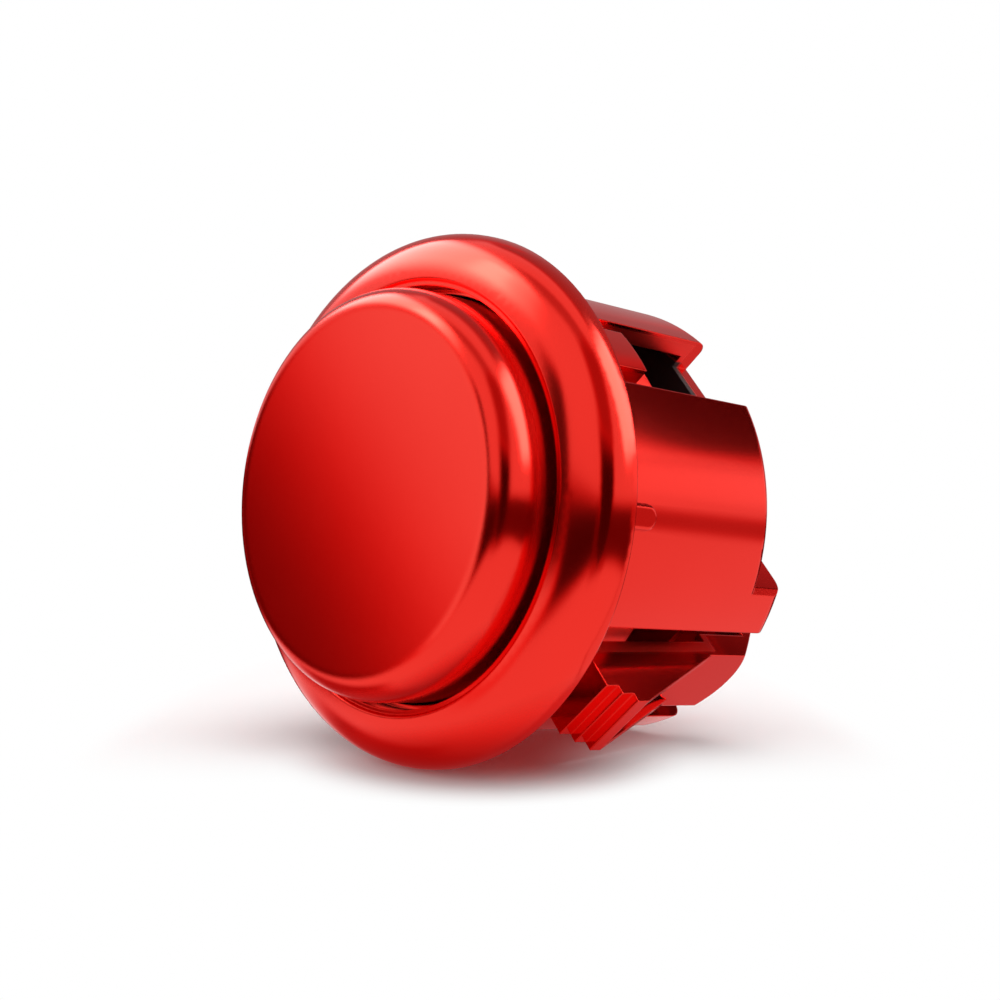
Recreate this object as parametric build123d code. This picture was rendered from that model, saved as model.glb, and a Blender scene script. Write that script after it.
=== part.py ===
from build123d import *
import os
from math import cos, pi, radians, sin, sqrt

# Snap-in arcade push button for a 30 mm panel hole, in millimetres.
# Every piece is drawn on the button's own axis: z runs from the panel face to the rear, x runs through
# the two snap tabs and y through the two guide slots. The finished pieces are then turned into the
# object's frame, where the plunger faces -Y, +Z is up and the tabs lie on a diagonal.

# Panel hole and bezel
hole_diameter = 30.0
hole_clearance = 0.35
rim_overhang = 2.35
rim_height = 2.95
rim_tilt = 10.0
rim_pull = 1.9
ring_width = 0.3
lip_radius = 0.2
guide_length = 1.2
guide_clearance = 0.15

# Body walls, guide slots and rear plate
body_depth = 16.15
wall_thickness = 1.35
plate_thickness = 1.5
body_corner = 0.8
guide_slot_width = 5.9
guide_slot_depth = 2.65
tongue_width = 3.4
tongue_length = 6.2
nub_width = 1.6
nub_length = 4.35
nub_height = 0.35
nub_round = 0.25

# Posts beside the snap tabs
tab_slot_width = 9.0
tab_slot_depth = 3.25
post_width = 2.7
post_depth = 5.65
post_length = 2.8
post_corner = 1.1
post_bevel_length = 0.4
post_bevel_slope = 0.4

# Snap tabs
tab_width = 5.4
crest_width = 4.8
tooth_start = 2.92
tooth_pitch = 0.96
tooth_rise = 0.61
tooth_count = 3
crest_height = 3.23
ramp_setback = 0.1
tab_gap = 0.45
tab_leg = 1.75
tail_length = 2.8
tail_radius = 4.6
hinge_length = 4.3
hinge_thickness = 1.2
window_width = 3.9
window_margin = 0.1

# Plunger
plunger_clearance = 0.45
plunger_reach = 6.45
edge_width = 1.6
edge_length = 2.2
plunger_wall = 1.35
face_thickness = 1.6
travel = 3.0
ear_gap = 0.15
ear_length = 1.6
ear_width = 3.2
ear_catch = 0.4
boss_diameter = 5.8
stop_gap = 0.3

# Key switch case and cover
switch_turn = 45.0
switch_width = 13.6
switch_wall = 1.2
case_height = 5.0
floor_thickness = 1.4
cover_height = 5.0
cover_top_width = 10.6
cover_wall = 1.1
spring_post_diameter = 3.0
peg_diameter = 4.0
peg_clearance = 0.05
part_clearance = 0.2

# Switch stem
slider_length = 6.8
slider_width = 5.0
shoulder_length = 8.2
shoulder_width = 6.4
shoulder_thickness = 1.2
cam_width = 2.0
cam_drop = 0.2
cam_rise = 0.15
cross_size = 4.0
cross_thickness = 1.2
cross_height = 3.5
socket_clearance = 0.03
spring_bore_diameter = 4.6
spring_bore_depth = 2.5

# Return spring
spring_diameter = 3.7
spring_wire = 0.35
spring_turns = 6
spring_seat = 0.03
bends_per_turn = 12

# Contacts and terminals
strip_thickness = 0.3
strip_width = 3.0
strip_height = 3.5
point_size = 0.35
point_length = 1.4
contact_gap = 0.3
leaf_thickness = 0.15
leaf_width = 2.4
leaf_height = 3.7
leaf_foot = 0.3
leaf_gap = 0.03
pin_width = 1.0
pin_reach = 1.0
fixed_pin_place = 3.8
leaf_pin_place = 3.3
foot_margin = 0.8
blade_width = 2.8
blade_thickness = 0.5
blade_length = 8.4
blade_place = 6.4
blade_tip = 0.6
blade_hole = 1.3

# Radii about the button axis
wall_radius = hole_diameter / 2 - hole_clearance
bore_radius = wall_radius - wall_thickness
rim_radius = wall_radius + rim_overhang
ring_radius = bore_radius + ring_width
crown_radius = ring_radius + lip_radius
plunger_radius = bore_radius - plunger_clearance
guide_radius = plunger_radius + guide_clearance
ear_radius = guide_radius + ear_catch
slot_floor = wall_radius - guide_slot_depth
hinge_outer = wall_radius - tab_slot_depth
tab_inner = plunger_radius + tab_gap
tab_crest = wall_radius + crest_height
tab_flush = sqrt(wall_radius**2 - (tab_width / 2) ** 2)

# Levels along the button axis, from the panel face to the rear
ring_level = lip_radius - rim_height
face_front = -plunger_reach
face_back = face_front + face_thickness
body_rear = body_depth
plate_front = body_rear - plate_thickness
case_front = plate_front - case_height
case_floor = plate_front - floor_thickness
cover_front = case_front - cover_height
boss_end = cover_front - travel - stop_gap
ear_front = tongue_length + ear_gap
skirt_end = ear_front + ear_length
shoulder_front = cover_front + cover_wall + part_clearance
slider_end = case_floor - travel - stop_gap
spring_top = slider_end - spring_bore_depth
crest_end = tooth_start + tooth_count * tooth_pitch
ramp_end = plate_front - ramp_setback
window_start = crest_end + window_margin
tail_centre = body_rear + tail_length - tail_radius
hinge_end = body_rear + hinge_length
post_end = body_rear + post_length
leaf_root = case_floor - leaf_foot
contact_level = case_floor - strip_height + point_size
pin_end = body_rear + pin_reach

# Places of the contacts across the switch
strip_outer = switch_width / 2 - switch_wall
strip_inner = strip_outer - strip_thickness
leaf_outer = strip_inner - contact_gap - 2 * point_size
leaf_inner = leaf_outer - leaf_thickness
carrier_inner = (leaf_inner + leaf_outer - strip_thickness) / 2

# The object's frame: the button axis lies along Y, with one snap tab down to the right
button_frame = Plane(origin=(0, 0, 0), x_dir=(1, 0, -1), z_dir=(0, 1, 0))


def block(x0, x1, y0, y1, z0, z1):
    """A box between two corners."""
    return Pos((x0 + x1) / 2, (y0 + y1) / 2, (z0 + z1) / 2) * Box(x1 - x0, y1 - y0, z1 - z0)


def centred_block(length, width, z0, z1):
    """A box on the button axis between two levels."""
    return block(-length / 2, length / 2, -width / 2, width / 2, z0, z1)


def disc(radius, z0, z1):
    """A cylinder on the button axis between two levels."""
    return Pos(0, 0, (z0 + z1) / 2) * Cylinder(radius, z1 - z0)


def turned(*lines):
    """A solid turned about the button axis from an outline of (radius, level)."""
    return revolve(Plane.XZ * make_face(Curve() + list(lines)), Axis.Z)


def tapered(width, z0, end_width, z1):
    """A square block that narrows from one level to the other."""
    return loft([Pos(0, 0, z0) * Rectangle(width, width), Pos(0, 0, z1) * Rectangle(end_width, end_width)])


def both_sides(shape):
    """A shape and its copy half a turn round the axis."""
    return shape + Rot(0, 0, 180) * shape


def rounded_drum(front, rear, corner):
    """A solid drum as wide as the body, with a rounded rear edge."""
    shoulder = rear - corner
    return turned(
        Polyline((0, front), (0, rear), (wall_radius - corner, rear)),
        CenterArc((wall_radius - corner, shoulder), corner, 0, 90),
        Polyline((wall_radius, shoulder), (wall_radius, front), (0, front)),
    )


def bezel():
    """The domed rim with its flat inner ring and the collar that guides the plunger."""
    slope = radians(rim_tilt)
    dome = Bezier(
        (rim_radius, 0),
        (rim_radius, -rim_pull),
        (crown_radius + rim_pull * cos(slope), rim_pull * sin(slope) - rim_height),
        (crown_radius, -rim_height),
    )
    return turned(
        Polyline((bore_radius, 0), (rim_radius, 0)),
        dome,
        CenterArc((crown_radius, ring_level), lip_radius, 180, 90),
        Polyline(
            (ring_radius, ring_level),
            (bore_radius, ring_level),
            (bore_radius, -guide_length),
            (guide_radius, -guide_length),
            (guide_radius, 0),
            (bore_radius, 0),
        ),
    )


def walls():
    """The bowl behind the panel, open at the guide slots and beside the snap tabs."""
    bowl = rounded_drum(0, body_rear, body_corner) - disc(bore_radius, 0, plate_front)
    half_slot = guide_slot_width / 2
    half_gap = tab_slot_width / 2
    bowl -= both_sides(block(-half_slot, half_slot, slot_floor, rim_radius, 0, body_rear))
    bowl -= both_sides(block(hinge_outer, rim_radius, -half_gap, half_gap, 0, body_rear))
    return bowl


def stop_tongue():
    """The finger in a guide slot that snaps over the plunger's ear."""
    half = tongue_width / 2
    finger = disc(wall_radius, -guide_length, tongue_length)
    finger -= disc(guide_radius, -guide_length, tongue_length)
    return finger & block(-half, half, 0, rim_radius, -guide_length, tongue_length)


def locating_nub():
    """A low rib with a round end that takes up the play in the panel hole."""
    radius = nub_width / 2
    foot = wall_radius - wall_thickness / 2
    crown = wall_radius + nub_height
    rib = block(foot, crown, -radius, radius, -guide_length, nub_length - radius)
    tip = Pos((foot + crown) / 2, 0, nub_length - radius) * Rot(0, 90, 0) * Cylinder(radius, crown - foot)
    nub = rib + tip
    return fillet(nub.edges().group_by(Axis.X)[-1], nub_round)


def post_pair():
    """The two rounded posts that stand behind the plate beside one snap tab."""
    near = tab_slot_width / 2
    far = near + post_width
    bevel_start = sqrt(wall_radius**2 - far**2) - post_bevel_length
    inner = wall_radius - post_depth
    outline = Polyline(
        (inner, near),
        (rim_radius, near),
        (rim_radius, far - (rim_radius - bevel_start) * post_bevel_slope),
        (bevel_start, far),
        (inner, far),
        (inner, near),
    )
    bar = extrude(Pos(0, 0, plate_front) * make_face(outline), post_end - plate_front)
    post = rounded_drum(plate_front, post_end, post_corner) & bar
    return post + mirror(post, Plane.XZ)


def tail_envelope():
    """The space that holds a snap tab: open at the front, with a rounded, sloping heel behind."""
    heel = Cone(tail_radius + tab_flush, tail_radius, tab_flush)
    heel = Pos(tab_flush / 2, 0, tail_centre) * Rot(0, 90, 0) * heel
    return heel + block(0, tab_crest, -tab_width, tab_width, 0, tail_centre)


def snap_tab():
    """A stepped head on two ribs and a U-shaped hinge: each step holds a panel of another thickness."""
    lowest = tab_crest - (tooth_count - 1) * tooth_rise
    steps = []
    for i in range(tooth_count):
        steps.append((lowest + i * tooth_rise, tooth_start + i * tooth_pitch))
        steps.append((lowest + i * tooth_rise, tooth_start + (i + 1) * tooth_pitch))
    leg_inner = tab_flush - tab_leg
    outline = Polyline(
        (tab_inner, tooth_start),
        *steps,
        (tab_flush, ramp_end),
        (tab_flush, hinge_end),
        (hinge_outer - hinge_thickness, hinge_end),
        (hinge_outer - hinge_thickness, plate_front),
        (hinge_outer, plate_front),
        (hinge_outer, hinge_end - hinge_thickness),
        (leg_inner, hinge_end - hinge_thickness),
        (leg_inner, ramp_end),
        (tab_inner, ramp_end),
        (tab_inner, tooth_start),
    )
    finger = extrude(Plane.XZ * make_face(outline), tab_width / 2, both=True)
    draft = Polyline(
        (-crest_width / 2, tooth_start),
        (crest_width / 2, tooth_start),
        (tab_width / 2, ramp_end),
        (tab_width / 2, hinge_end),
        (-tab_width / 2, hinge_end),
        (-tab_width / 2, ramp_end),
        (-crest_width / 2, tooth_start),
    )
    finger &= extrude(Plane.YZ * make_face(draft), tab_crest)
    return (finger & tail_envelope()) - tab_window()


def tab_window():
    """The space between a tab's ribs: through the finger, round the tongue that ends its leg."""
    half = window_width / 2
    tongue = Pos(tab_flush / 2, 0, ramp_end) * Rot(0, 90, 0) * Cylinder(half, tab_flush)
    return block(0, tab_crest, -half, half, window_start, ramp_end) - tongue


def on_switch(shape):
    """A shape of the key switch, turned to the way the switch stands on the rear plate."""
    return Rot(0, 0, switch_turn) * shape


def housing():
    """The whole moulding: rim, walls, tongues, plate, posts and snap tabs."""
    shell = bezel() + walls() + both_sides(post_pair()) + both_sides(snap_tab())
    shell += both_sides(stop_tongue())
    for quarter in range(4):
        shell += Rot(0, 0, 45 + 90 * quarter) * locating_nub()
    shell -= disc(peg_diameter / 2 + peg_clearance, plate_front, body_rear)
    return shell - on_switch(fixed_pin() + leaf_pin())


def plunger():
    """The cup that is pressed: face, rounded edge, skirt, two ears and the boss for the stem."""
    corner = face_front + edge_length
    face_radius = plunger_radius - edge_width
    skirt_inner = plunger_radius - plunger_wall
    cup = turned(
        Polyline((0, face_back), (0, face_front), (face_radius, face_front)),
        EllipticalCenterArc((face_radius, corner), edge_width, edge_length, 270, arc_size=90),
        Polyline(
            (plunger_radius, corner),
            (plunger_radius, skirt_end),
            (skirt_inner, skirt_end),
            (skirt_inner, face_back),
            (0, face_back),
        ),
    )
    half = ear_width / 2
    ear = disc(ear_radius, ear_front, skirt_end) & block(-half, half, 0, rim_radius, ear_front, skirt_end)
    cup += both_sides(ear - disc(skirt_inner, ear_front, skirt_end))
    cup += disc(boss_diameter / 2, face_back - face_thickness / 2, boss_end)
    return cup - on_switch(stem_cross(2 * socket_clearance))


def stem_cross(extra=0.0):
    """The cross on top of the stem, or with some extra size its socket."""
    top = boss_end - cross_height - extra
    bar = centred_block(cross_size + extra, cross_thickness + extra, top, boss_end)
    return bar + Rot(0, 0, 90) * bar


def switch_case():
    """The lower case: an open box with the spring post inside and the centre peg below."""
    inside = switch_width - 2 * switch_wall
    box = centred_block(switch_width, switch_width, case_front, plate_front)
    box -= centred_block(inside, inside, case_front, case_floor)
    box += disc(spring_post_diameter / 2, spring_top + travel + stop_gap, case_floor)
    box += disc(peg_diameter / 2, plate_front, body_rear)
    return box - fixed_pin() - leaf_pin()


def switch_cover():
    """The upper case: a tapered hood with the opening that guides the stem."""
    hood = tapered(switch_width, case_front, cover_top_width, cover_front)
    inside = switch_width - 2 * switch_wall
    roof = cover_front + cover_wall
    hood -= tapered(inside, case_front, cover_top_width - 2 * cover_wall, roof)
    return hood - centred_block(
        slider_length + part_clearance, slider_width + part_clearance, cover_front, roof
    )


def switch_stem():
    """The slider with its cross, stop shoulder, contact cam and spring bore."""
    slider = centred_block(slider_length, slider_width, boss_end, slider_end)
    shoulder_rear = shoulder_front + shoulder_thickness
    slider += centred_block(shoulder_length, shoulder_width, shoulder_front, shoulder_rear)
    cam = Polyline(
        (0, shoulder_rear),
        (leaf_inner + cam_rise, shoulder_rear),
        (leaf_inner - cam_drop, slider_end - stop_gap),
        (0, slider_end - stop_gap),
        (0, shoulder_rear),
    )
    slider += extrude(Plane.YZ * make_face(cam), cam_width / 2, both=True)
    slider -= disc(spring_bore_diameter / 2, spring_top, slider_end)
    return slider + stem_cross()


def return_spring():
    """The coil spring between the stem's bore and the case floor, at its length when released."""
    start = spring_top + spring_seat + spring_wire / 2
    height = case_floor - spring_top - 2 * spring_seat - spring_wire
    radius = spring_diameter / 2
    bends = spring_turns * bends_per_turn
    points = []
    for i in range(bends + 1):
        angle = 2 * pi * i / bends_per_turn
        points.append((radius * cos(angle), radius * sin(angle), start + height * i / bends))
    coil = Polyline(*points)
    section = Plane(coil @ 0, z_dir=coil % 0) * RegularPolygon(spring_wire / 2, 6)
    return sweep(section, path=coil, transition=Transition.RIGHT)


def fixed_pin():
    """The pin of the fixed strip, through the case floor and the rear plate."""
    start = fixed_pin_place - pin_width / 2
    return block(start, start + pin_width, strip_inner, strip_outer, case_floor, pin_end)


def leaf_pin():
    """The pin of the leaf's carrier, through the case floor and the rear plate."""
    start = -leaf_pin_place - pin_width / 2
    carrier_outer = carrier_inner + strip_thickness
    return block(start, start + pin_width, carrier_inner, carrier_outer, case_floor, pin_end)


def fixed_contact():
    """The fixed strip on the case wall, with a foot that leads to its pin."""
    half = strip_width / 2
    strip = block(-half, half, strip_inner, strip_outer, case_floor - strip_height, case_floor)
    foot_end = fixed_pin_place + pin_width / 2
    strip += block(0, foot_end, strip_inner, strip_outer, case_floor - pin_width, case_floor)
    return strip + fixed_pin()


def leaf_carrier():
    """The narrow bar on the case floor that holds the leaf and leads to the second pin."""
    start = -leaf_pin_place - pin_width / 2
    carrier_outer = carrier_inner + strip_thickness
    bar = block(start, leaf_width / 2, carrier_inner, carrier_outer, leaf_root, case_floor)
    return bar + leaf_pin()


def contact_leaf():
    """The thin springy leaf in front of the fixed strip."""
    half = leaf_width / 2
    return block(-half, half, leaf_inner, leaf_outer, leaf_root - leaf_height, leaf_root - leaf_gap)


def contact_point(inner):
    """A small welded bar where the leaf and the fixed strip meet."""
    half = point_length / 2
    outer = inner + point_size
    return block(-half, half, inner, outer, contact_level - point_size, contact_level + point_size)


def terminal(pin_place, pin_y, pin):
    """A blade terminal: its foot lies on the rear plate round a pin and the blade stands at its end."""
    half = blade_width / 2
    foot_rear = body_rear + blade_thickness
    foot = block(pin_place - foot_margin, blade_place, -half, pin_y + foot_margin, body_rear, foot_rear)
    blade_end = body_rear + blade_length
    blade = block(blade_place - blade_thickness, blade_place, -half, half, body_rear, blade_end)
    tips = blade.edges().filter_by(Axis.X).group_by(Axis.Z)[-1]
    blade = chamfer(tips, blade_tip)
    hole_level = blade_end - blade_width / 2
    hole = Pos(blade_place - blade_thickness / 2, 0, hole_level) * Rot(0, 90, 0)
    blade -= hole * Cylinder(blade_hole / 2, 2 * blade_thickness)
    return foot + blade - pin


def terminal_a():
    """The terminal on the fixed strip's pin."""
    return terminal(fixed_pin_place, strip_outer, fixed_pin())


def terminal_b():
    """The terminal on the leaf carrier's pin, on the other side of the axis."""
    facing = mirror(leaf_pin(), Plane.YZ)
    return mirror(terminal(leaf_pin_place, carrier_inner + strip_thickness, facing), Plane.YZ)


pieces = {
    "housing": housing(),
    "plunger": plunger(),
    "switch_case": on_switch(switch_case()),
    "switch_cover": on_switch(switch_cover()),
    "switch_stem": on_switch(switch_stem()),
    "return_spring": on_switch(return_spring()),
    "fixed_contact": on_switch(fixed_contact()),
    "leaf_carrier": on_switch(leaf_carrier()),
    "contact_leaf": on_switch(contact_leaf()),
    "fixed_point": on_switch(contact_point(strip_inner - point_size)),
    "leaf_point": on_switch(contact_point(leaf_outer)),
    "terminal_a": on_switch(terminal_a()),
    "terminal_b": on_switch(terminal_b()),
}

os.makedirs("parts", exist_ok=True)
for name, piece in pieces.items():
    export_step(button_frame.location * piece, f"parts/{name}.step")
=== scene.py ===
from math import cos, radians, sin, tan
import bmesh
import bpy
from mathutils import Matrix, Vector


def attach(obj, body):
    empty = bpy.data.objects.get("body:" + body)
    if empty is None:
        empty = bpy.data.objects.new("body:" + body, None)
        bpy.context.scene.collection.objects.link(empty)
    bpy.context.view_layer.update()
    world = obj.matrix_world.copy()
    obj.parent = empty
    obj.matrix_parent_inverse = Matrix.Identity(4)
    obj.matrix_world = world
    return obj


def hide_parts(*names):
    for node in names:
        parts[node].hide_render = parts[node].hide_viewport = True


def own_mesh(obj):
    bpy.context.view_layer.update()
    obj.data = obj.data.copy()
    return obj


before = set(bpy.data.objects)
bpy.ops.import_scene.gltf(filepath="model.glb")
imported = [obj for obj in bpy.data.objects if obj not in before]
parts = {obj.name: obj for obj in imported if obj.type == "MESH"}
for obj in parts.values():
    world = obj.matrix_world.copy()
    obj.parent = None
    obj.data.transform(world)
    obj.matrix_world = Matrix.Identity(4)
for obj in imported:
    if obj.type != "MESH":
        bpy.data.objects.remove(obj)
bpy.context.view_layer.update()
bpy.context.scene.view_settings.view_transform = "Standard"


# The housing is one plastic moulding: rim, walls, stop tongues, posts and the two stepped snap tabs.
# It is plated with a thin bright metal film under a clear red lacquer, which lies a little uneven on
# the moulded skin and turns dull inside the walls. The bore and the middle behind the rim are painted
# near black without the metal film, a painted shade that darkens the gap round the plunger.
class Finish:
    """A socket in a finish's node tree; arithmetic on it adds the Math nodes."""

    def __init__(self, tree, socket=None):
        self.tree = tree
        self.socket = socket

    def node(self, kind, settings, sockets, output=0):
        made = self.tree.nodes.new(kind)
        for name, value in settings.items():
            setattr(made, name, value)
        for name, value in sockets.items():
            if isinstance(value, Finish):
                self.tree.links.new(value.socket, made.inputs[name])
            else:
                made.inputs[name].default_value = value
        return Finish(self.tree, made.outputs[output] if made.outputs else None)

    def maths(self, operation, first, second):
        return self.node("ShaderNodeMath", {"operation": operation}, {0: first, 1: second})

    def __add__(self, other):
        return self.maths("ADD", self, other)

    def __radd__(self, other):
        return self.maths("ADD", other, self)

    def __sub__(self, other):
        return self.maths("SUBTRACT", self, other)

    def __rsub__(self, other):
        return self.maths("SUBTRACT", other, self)

    def __mul__(self, other):
        return self.maths("MULTIPLY", self, other)

    def __rmul__(self, other):
        return self.maths("MULTIPLY", other, self)


def start_finish(name):
    material = bpy.data.materials.new(name)
    material.use_nodes = True
    material.node_tree.nodes.clear()
    return material, Finish(material.node_tree)


def end_finish(tree, shader):
    tree.node("ShaderNodeOutputMaterial", {}, {"Surface": shader})


def place_on(tree):
    return tree.node("ShaderNodeTexCoord", {}, {}, "Object")


def cloud(tree, place, scale, detail=2.0):
    return tree.node("ShaderNodeTexNoise", {}, {"Vector": place, "Scale": scale, "Detail": detail}, "Fac")


def blend(tree, factor, first, second):
    return tree.node("ShaderNodeMix", {"data_type": "RGBA"}, {0: factor, 6: first, 7: second}, 2)


def ramp(tree, value, start, end):
    return tree.node("ShaderNodeMapRange", {"interpolation_type": "SMOOTHSTEP"},
                     {"Value": value, "From Min": start, "From Max": end})


def dot(tree, first, second):
    return tree.node("ShaderNodeVectorMath", {"operation": "DOT_PRODUCT"}, {0: first, 1: second}, "Value")


def larger(tree, first, second):
    return tree.maths("MAXIMUM", first, second)


red_film = (0.880, 0.036, 0.025, 1.0)
deep_film = (0.830, 0.030, 0.021, 1.0)
# near black painted shade for the bore and the middle behind the rim
painted_shade_black = (0.010, 0.004, 0.004, 1.0)
wall_start = (0.0, 0.0015)
plate_front = (0.0154, 0.0150)
wall_inside = (0.0146, 0.0142)
bore_start = (-0.0024, -0.0012)
bore_facing = (-0.004, -0.009)
# radius inside which the middle behind the rim gets the painted shade
painted_shade_radius = (0.0129, 0.0127)
tab_side = (0.7071, 0.0, 0.7071)
tab_slot = (0.00445, 0.0046)
skirt_start = (-0.0046, -0.0034)


def plating(name, softness, rubbed):
    plated, tree = start_finish(name)
    place = place_on(tree)
    edge = tree.node("ShaderNodeBevel", {"samples": 6}, {"Radius": softness})
    ripple = tree.node("ShaderNodeBump", {}, {"Strength": 0.03, "Distance": 0.00002,
                                              "Height": cloud(tree, place, 900.0), "Normal": edge})
    depth = tree.node("ShaderNodeSeparateXYZ", {}, {"Vector": place}, "Y")
    across = tree.node("ShaderNodeVectorMath", {"operation": "MULTIPLY"}, {0: place, 1: (1.0, 0.0, 1.0)})
    radius = tree.node("ShaderNodeVectorMath", {"operation": "LENGTH"}, {0: across}, "Value")
    facing = tree.node("ShaderNodeNewGeometry", {}, {}, "Normal")
    beside = tree.node("ShaderNodeMath", {"operation": "ABSOLUTE"}, {0: dot(tree, place, tab_side)})
    behind = ramp(tree, depth, *wall_start)
    ahead = ramp(tree, depth, *plate_front)
    dull = ramp(tree, radius, *wall_inside) * behind * ahead
    bore = ramp(tree, dot(tree, facing, across), *bore_facing) * ramp(tree, depth, *bore_start)
    middle = ramp(tree, radius, *painted_shade_radius) * behind
    slots = larger(tree, ramp(tree, beside, *tab_slot), 1.0 - behind)
    inside = larger(tree, bore, middle) * slots * ahead
    lacquer = blend(tree, cloud(tree, place, 90.0), red_film, deep_film)
    worn = rubbed * ramp(tree, depth, *skirt_start) + 0.2 * dull + 0.3 * inside
    film = tree.node("ShaderNodeBsdfPrincipled", {}, {
        # painted shade: the bore and the middle are blended to near black and lose the metal film
        "Base Color": blend(tree, inside, lacquer, painted_shade_black),
        "Metallic": 1.0 - inside,
        "Roughness": 0.125 + 0.03 * cloud(tree, place, 160.0, 4.0) + worn,
        "Normal": ripple})
    end_finish(tree, film)
    return plated


parts["housing"].data.materials[0] = plating("red_plating", 0.00012, 0.0)


# The plunger is a second moulding with the same plating, a wide cup that slides in the rim's bore.
# Its face is flat, its edge runs softly into the skirt, and the skirt is rubbed duller by the bore.
parts["plunger"].data.materials[0] = plating("soft_red_plating", 0.0006, 0.15)


# The key switch on the rear plate has a two-part case of black moulded plastic, whose dull skin comes
# from the spark-eroded mould, and its cover snaps on the lower case.
black_skin = (0.020, 0.020, 0.022, 1.0)
worn_skin = (0.034, 0.034, 0.036, 1.0)
moulded_black, tree = start_finish("moulded_black")
place = place_on(tree)
grain = tree.node("ShaderNodeBump", {}, {"Strength": 0.25, "Distance": 0.00003,
                                         "Height": cloud(tree, place, 5200.0)})
skin = tree.node("ShaderNodeBsdfPrincipled", {}, {
    "Base Color": blend(tree, cloud(tree, place, 420.0), black_skin, worn_skin),
    "Roughness": 0.42 + 0.12 * cloud(tree, place, 1500.0),
    "Normal": grain})
end_finish(tree, skin)
parts["switch_case"].data.materials[0] = moulded_black
parts["switch_cover"].data.materials[0] = moulded_black


# The stem is the switch's slider, moulded in an unpainted slippery plastic, and its cross is pressed
# into the plunger's boss.
natural = (0.71, 0.69, 0.63, 1.0)
darker_natural = (0.62, 0.60, 0.55, 1.0)
slider, tree = start_finish("natural_slider")
place = place_on(tree)
satin = tree.node("ShaderNodeBsdfPrincipled", {}, {
    "Base Color": blend(tree, cloud(tree, place, 500.0), natural, darker_natural),
    "Roughness": 0.36 + 0.1 * cloud(tree, place, 1800.0)})
end_finish(tree, satin)
parts["switch_stem"].data.materials[0] = slider


# The return spring is coiled from bright drawn spring wire and stands on the lower case, under the stem.
# A copy of it is shown, attached to the body, and the imported spring is hidden.
bright_wire = (0.62, 0.61, 0.59, 1.0)
dull_wire = (0.45, 0.44, 0.42, 1.0)
wire, tree = start_finish("drawn_wire")
place = place_on(tree)
drawn = tree.node("ShaderNodeBsdfPrincipled", {}, {
    "Base Color": blend(tree, cloud(tree, place, 2600.0), bright_wire, dull_wire),
    "Metallic": 1.0,
    "Roughness": 0.24 + 0.12 * cloud(tree, place, 3200.0)})
end_finish(tree, drawn)
parts["return_spring"].data.materials[0] = wire
spring = bpy.data.objects.new("squeezed_spring", parts["return_spring"].data.copy())
bpy.context.collection.objects.link(spring)
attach(spring, "body")
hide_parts("return_spring")
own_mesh(spring)


# The contacts are stamped from rolled brass strip: the fixed strip, the carrier, the springy leaf and
# the two welded points between which the current passes.
brass = (0.78, 0.56, 0.24, 1.0)
tarnish = (0.62, 0.42, 0.17, 1.0)
strip, tree = start_finish("rolled_brass")
place = place_on(tree)
rolled = tree.node("ShaderNodeBsdfPrincipled", {}, {
    "Base Color": blend(tree, cloud(tree, place, 700.0, 4.0), brass, tarnish),
    "Metallic": 1.0,
    "Roughness": 0.26 + 0.14 * cloud(tree, place, 1600.0, 4.0)})
end_finish(tree, rolled)
for name in ("fixed_contact", "leaf_carrier", "contact_leaf", "fixed_point", "leaf_point"):
    parts[name].data.materials[0] = strip


# The two blades behind the rear plate are stamped from tinned brass strip for push-on connectors, and
# the tin lies on them in a soft cloudy coat.
tin = (0.74, 0.73, 0.70, 1.0)
grey_tin = (0.60, 0.59, 0.57, 1.0)
tinned, tree = start_finish("tinned_blade")
place = place_on(tree)
cloudy = cloud(tree, place, 650.0, 4.0)
dipped = tree.node("ShaderNodeBump", {}, {"Strength": 0.1, "Distance": 0.00003, "Height": cloudy})
coat = tree.node("ShaderNodeBsdfPrincipled", {}, {
    "Base Color": blend(tree, cloudy, tin, grey_tin),
    "Metallic": 1.0,
    "Roughness": 0.30 + 0.14 * cloud(tree, place, 2100.0),
    "Normal": dipped})
end_finish(tree, coat)
for name in ("terminal_a", "terminal_b"):
    parts[name].data.materials[0] = tinned


# The floor is a white sheet on which the button lies, on its rim and its lower tab, so it is tilted a
# little against the button's axis. It keeps the button's shadow around the spot where the rim rests, but
# ahead of that spot and to its sides a white glow is mixed in by distance, a painted light that trims the
# shadow's shape; further away the floor runs out into the white of the room.
floor_up = Vector((-0.007, -0.125, 0.992)).normalized()
floor_level = min(vertex.co.dot(floor_up) for vertex in parts["housing"].data.vertices)
floor_front = (0.71, -0.70, 0.0)
floor_side = (0.70, 0.71, 0.0)


def floor_sheet(name, size):
    shape = bmesh.new()
    bmesh.ops.create_grid(shape, x_segments=1, y_segments=1, size=size)
    turn = Vector((0.0, 0.0, 1.0)).rotation_difference(floor_up).to_matrix().to_4x4()
    bmesh.ops.transform(shape, matrix=Matrix.Translation(floor_up * floor_level) @ turn, verts=shape.verts)
    mesh = bpy.data.meshes.new(name)
    shape.to_mesh(mesh)
    shape.free()
    sheet = bpy.data.objects.new(name, mesh)
    bpy.context.collection.objects.link(sheet)
    return sheet


def from_spot(tree, spot):
    gap = tree.node("ShaderNodeVectorMath", {"operation": "SUBTRACT"}, {0: place_on(tree), 1: spot})
    return dot(tree, gap, floor_front), dot(tree, gap, floor_side)


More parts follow.
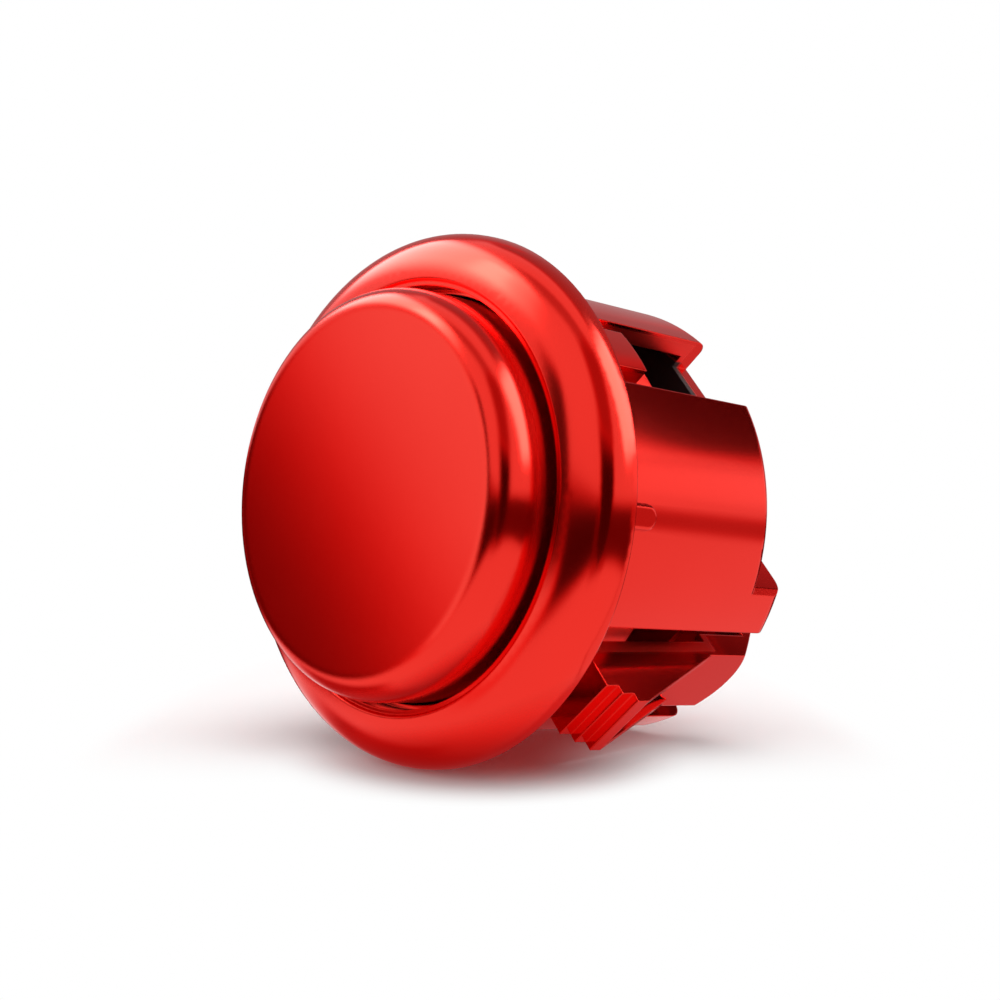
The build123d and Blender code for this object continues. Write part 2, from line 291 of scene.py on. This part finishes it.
floor = floor_sheet("floor", 3.0)
floor.visible_glossy = False
paper, tree = start_finish("white_sheet")
matt = tree.node("ShaderNodeBsdfDiffuse", {}, {"Color": (0.95, 0.95, 0.95, 1.0)})
white = tree.node("ShaderNodeEmission", {}, {"Color": (1.0, 1.0, 1.0, 1.0), "Strength": 1.0})
forward, sideways = from_spot(tree, (0.0021, 0.0047, -0.017))
ahead = larger(tree, forward, 0.0)
behind = forward - ahead
near_reach = ahead * ahead * 9100.0 + sideways * sideways * 7800.0
# painted light: white glow mixed into the shadow ahead of the spot and to its sides
near_painted_light = ramp(tree, near_reach, 0.0, 1.45) * ramp(tree, forward, -0.012, 0.0068)
far_reach = ahead * ahead * 24700.0 + behind * behind * 1200.0 + sideways * sideways * 6650.0
far = ramp(tree, far_reach, 3.6, 5.0)
end_finish(tree, tree.node("ShaderNodeMixShader", {}, {0: near_painted_light + (1.0 - near_painted_light) * far, 1: matt, 2: white}))
floor.data.materials.append(paper)


# The studio is a white room with one wide lamp overhead, which lights the floor. Only the reflections
# see the rest: the shaded floor under the button, painted reddish as painted bounce light from the red
# button, soft-edged lit boxes, darker cards with red edges, and a dark band around the room. A panel's
# place, span and soft edges are in degrees.
def reflected_only(sheet):
    sheet.visible_camera = False
    sheet.visible_diffuse = False
    sheet.visible_shadow = False


contact = floor_sheet("shaded_floor", 0.06)
reflected_only(contact)
shaded, tree = start_finish("shaded_floor")
# The sheet's red colour is painted red bounce light from the button; its shade is the lamp's shadow of the
# button.
matt = tree.node("ShaderNodeBsdfDiffuse", {}, {"Color": (0.85, 0.13, 0.13, 1.0)})
clear = tree.node("ShaderNodeBsdfTransparent", {}, {})
forward, sideways = from_spot(tree, (0.0028, 0.0043, -0.017))
ahead = larger(tree, forward, 0.0)
fade = ramp(tree, ahead * ahead + sideways * sideways, 0.00001, 0.00023)
end_finish(tree, tree.node("ShaderNodeMixShader", {}, {0: fade, 1: matt, 2: clear}))
contact.data.materials.append(shaded)


def glow(tree, cover, edge, core):
    clear = tree.node("ShaderNodeBsdfTransparent", {}, {})
    strength = tree.node("ShaderNodeMapRange", {}, {"Value": cover, "From Max": 0.6})
    tint = tree.node("ShaderNodeMapRange", {}, {"Value": cover, "From Min": 0.5})
    colour = blend(tree, tint, (*edge, 1.0), (*core, 1.0))
    lit = tree.node("ShaderNodeEmission", {}, {"Color": colour, "Strength": 1.0})
    end_finish(tree, tree.node("ShaderNodeMixShader", {}, {0: strength, 1: clear, 2: lit}))


def panel(name, distance, edge, core, place, span, soft, roll=0.0):
    side, rise, lean = radians(place[0]), radians(place[1]), radians(roll)
    out = Vector((sin(side) * cos(rise), -cos(side) * cos(rise), sin(rise)))
    level = Vector((cos(side), sin(side), 0.0))
    upright = out.cross(level)
    across = level * cos(lean) + upright * sin(lean)
    upward = upright * cos(lean) - level * sin(lean)
    half_wide, half_high = tan(radians(span[0]) / 2), tan(radians(span[1]) / 2)
    shape = bmesh.new()
    shape.loops.layers.uv.new("sheet")
    bmesh.ops.create_grid(shape, x_segments=1, y_segments=1, size=distance, calc_uvs=True)
    bmesh.ops.scale(shape, vec=(half_wide, half_high, 1.0), verts=shape.verts)
    spot = Matrix((across, upward, out)).transposed().to_4x4()
    bmesh.ops.transform(shape, matrix=Matrix.Translation(out * distance) @ spot, verts=shape.verts)
    mesh = bpy.data.meshes.new(name)
    shape.to_mesh(mesh)
    shape.free()
    sheet = bpy.data.objects.new(name, mesh)
    bpy.context.collection.objects.link(sheet)
    light, tree = start_finish(name)
    spread = tree.node("ShaderNodeTexCoord", {}, {}, "UV")
    u = tree.node("ShaderNodeSeparateXYZ", {}, {"Vector": spread}, "X")
    v = tree.node("ShaderNodeSeparateXYZ", {}, {"Vector": spread}, "Y")
    cover = ramp(tree, u, 0.0, soft[0] / span[0]) * ramp(tree, u, 1.0, 1.0 - soft[1] / span[0])
    cover = cover * ramp(tree, v, 0.0, soft[2] / span[1]) * ramp(tree, v, 1.0, 1.0 - soft[3] / span[1])
    glow(tree, cover, edge, core)
    sheet.data.materials.append(light)
    reflected_only(sheet)


deep = (0.05, 0.002, 0.002)
red_edge = (0.67, 0.10, 0.10)
pale_edge = (1.0, 1.0, 1.0)
panel("front_box", 0.50, (0.96, 0.0, 0.0), (1.08, 1.5, 1.5), (-35.5, 0), (33, 52), (11, 8, 10, 10), 35)
panel("hot_box", 0.505, (6.0, 6.0, 6.0), (10.5, 10.5, 10.5), (-41, 41), (19, 32), (8, 6, 10, 10))
panel("left_box", 0.51, pale_edge, (6.2, 6.2, 6.2), (-49, 42), (77, 54), (8, 34, 22, 18))
panel("right_box", 0.51, pale_edge, (7.0, 7.0, 7.0), (116, 40), (50, 64), (22, 6, 20, 18))
panel("top_card", 0.585, (0.85, 0.6, 0.6), (0.60, 0.33, 0.33), (12, 66), (70, 26), (14, 14, 10, 8))
panel("wall_line", 0.51, red_edge, (0.5, 0.14, 0.14), (146, 1), (46, 10), (8, 8, 4, 4))
panel("wall_strip", 0.515, (1.0, 0.9, 0.9), (1.15, 1.15, 1.15), (146, 13), (46, 18), (8, 8, 7, 6))
panel("wall_box", 0.52, red_edge, (0.95, 0.90, 0.90), (149, -14), (40, 72), (4, 6, 6, 8))
panel("front_card", 0.56, red_edge, deep, (8, -6), (78, 28), (12, 10, 8, 8))
panel("left_flag", 0.56, red_edge, (0.16, 0.006, 0.006), (-63, -4), (44, 36), (8, 8, 8, 8))
panel("side_card", 0.57, red_edge, deep, (52, 8), (46, 60), (12, 10, 8, 24))
panel("high_card", 0.575, red_edge, (0.46, 0.10, 0.10), (56, 44), (44, 50), (16, 14, 12, 14))
panel("lip_card", 0.495, red_edge, deep, (-20, 7), (14, 36), (4, 4, 8, 8))
panel("post_card", 0.55, red_edge, deep, (162, 34), (36, 28), (6, 8, 6, 8))
panel("rear_card", 0.58, red_edge, (0.42, 0.24, 0.24), (184, 44), (72, 80), (10, 10, 10, 14))
panel("back_card", 0.59, red_edge, (0.46, 0.28, 0.28), (238, 32), (60, 56), (10, 6, 10, 16))
panel("left_card", 0.58, (0.8, 0.3, 0.3), (0.48, 0.05, 0.05), (-106, -47), (80, 52), (15, 15, 15, 15))
panel("low_card", 0.57, (0.9, 0.8, 0.8), (0.68, 0.36, 0.36), (-176, -44), (50, 50), (12, 12, 12, 12))

band_radius = 0.60
band_low = -0.21
band_high = 0.08
shape = bmesh.new()
bmesh.ops.create_cone(shape, cap_ends=False, segments=64, radius1=band_radius, radius2=band_radius,
                      depth=band_high - band_low)
bmesh.ops.translate(shape, vec=(0.0, 0.0, (band_high + band_low) / 2), verts=shape.verts)
mesh = bpy.data.meshes.new("dark_band")
shape.to_mesh(mesh)
shape.free()
band = bpy.data.objects.new("dark_band", mesh)
bpy.context.collection.objects.link(band)
dark, tree = start_finish("dark_band")
height = tree.node("ShaderNodeSeparateXYZ", {}, {"Vector": place_on(tree)}, "Z")
cover = ramp(tree, height, band_low, band_low + 0.08) * ramp(tree, height, band_high, band_high - 0.07)
glow(tree, cover, red_edge, (0.14, 0.006, 0.006))
band.data.materials.append(dark)
reflected_only(band)

lamp = bpy.data.lights.new("overhead_lamp", "AREA")
lamp.shape = "DISK"
lamp.size = 0.70
lamp.energy = 3.2
overhead = bpy.data.objects.new("overhead_lamp", lamp)
overhead.matrix_world = Matrix.Translation(floor_up * 0.6)
overhead.visible_glossy = False
overhead.visible_camera = False
bpy.context.collection.objects.link(overhead)

room = bpy.data.worlds.new("white_room")
room.use_nodes = True
room.node_tree.nodes.clear()
tree = Finish(room.node_tree)
seen = tree.node("ShaderNodeLightPath", {}, {}, "Is Camera Ray")
mirrored = tree.node("ShaderNodeLightPath", {}, {}, "Is Glossy Ray")
scattered = tree.node("ShaderNodeLightPath", {}, {}, "Diffuse Depth")
passed = tree.node("ShaderNodeLightPath", {}, {}, "Is Transmission Ray")
direct = tree.maths("LESS_THAN", scattered, 0.5)
shown = tree.node("ShaderNodeMath", {"operation": "ADD", "use_clamp": True},
                  {0: seen + mirrored * direct, 1: passed})
bright = tree.node("ShaderNodeBackground", {}, {"Color": (1.0, 1.0, 1.0, 1.0), "Strength": 1.0})
plain = tree.node("ShaderNodeBackground", {}, {"Color": (1.0, 1.0, 1.0, 1.0), "Strength": 0.42})
light = tree.node("ShaderNodeMixShader", {}, {0: shown, 1: plain, 2: bright})
tree.node("ShaderNodeOutputWorld", {}, {"Surface": light})
bpy.context.scene.world = room


# The camera stands in front of the button's right side, a little above the floor, and looks at the face
# from an angle that also shows the walls and a tab behind the rim.
camera_right = Vector((0.7020, 0.7059, 0.0945)).normalized()
camera_back = Vector((0.7102, -0.7037, -0.0203)).normalized()
camera_up = camera_back.cross(camera_right)
lens = bpy.data.cameras.new("camera")
lens.sensor_width = 36.0
lens.lens = 59.21
lens.clip_start = 0.005
camera = bpy.data.objects.new("camera", lens)
turn = Matrix((camera_right, camera_up, camera_back)).transposed().to_4x4()
camera.matrix_world = Matrix.Translation((0.07747, -0.07080, -0.00174)) @ turn
bpy.context.collection.objects.link(camera)
bpy.context.scene.camera = camera
